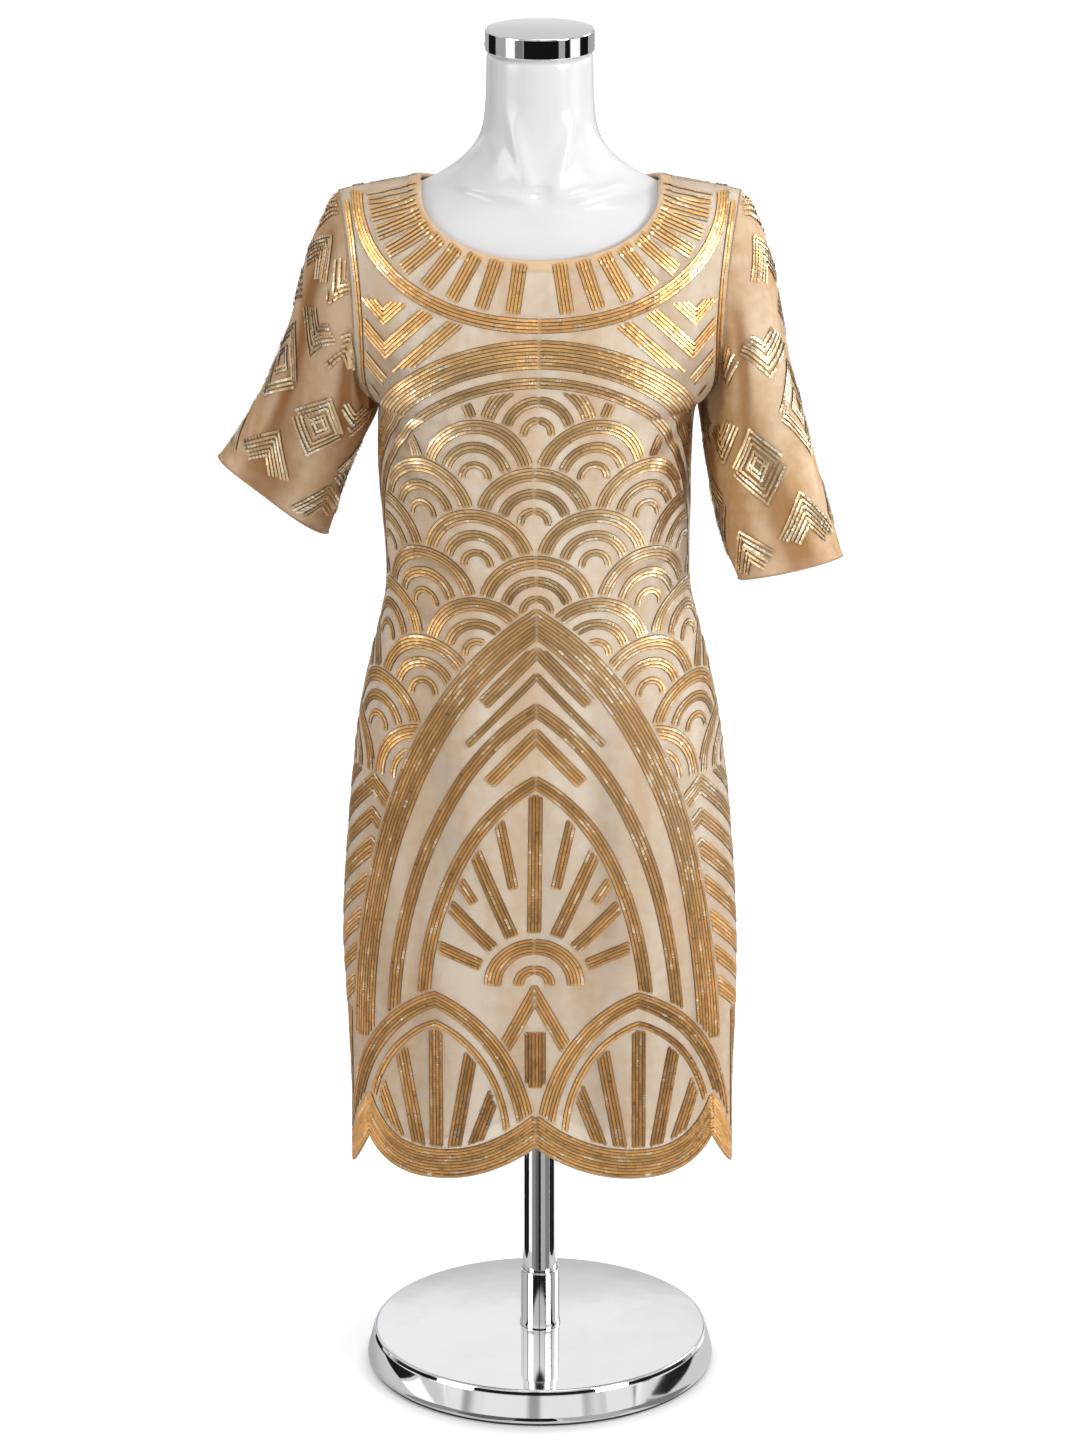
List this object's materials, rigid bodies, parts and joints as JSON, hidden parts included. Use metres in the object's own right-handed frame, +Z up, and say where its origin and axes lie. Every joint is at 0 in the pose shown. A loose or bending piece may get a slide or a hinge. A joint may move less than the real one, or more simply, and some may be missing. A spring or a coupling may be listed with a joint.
{
  "type": "cocktail dress on dress form",
  "caption": "Knee-length cocktail dress in sequined net with elbow sleeves and a scalloped hem, worn by a limbless white form on a round chromed stand.",
  "frame": {"origin": "centre of the base's underside, on the floor", "axes": "+Z up the pole, -Y the way the wearer faces, +X to the wearer's left"},
  "size_m": [0.551, 0.3186, 1.248],
  "materials": {
    "net_cloth": "nude net closely worked with rows of gold sequins",
    "sleeve_net": "sheer nude net with sparse sequin figures",
    "lining_cloth": "plain beige lining, slight sheen",
    "binding_cloth": "plain self cloth binding",
    "form_white": "smooth gloss white",
    "chrome": "mirror chrome"
  },
  "bodies": {
    "root": {"front_panel": "net_cloth", "back_panel": "net_cloth", "sleeve_left": "sleeve_net", "sleeve_right": "sleeve_net", "lining_front": "lining_cloth", "lining_back": "lining_cloth", "neck_binding": "binding_cloth", "torso": "form_white", "neck_cap": "chrome", "pole": "chrome", "pole_socket": "chrome", "base": "chrome"}
  },
  "joints": []
}
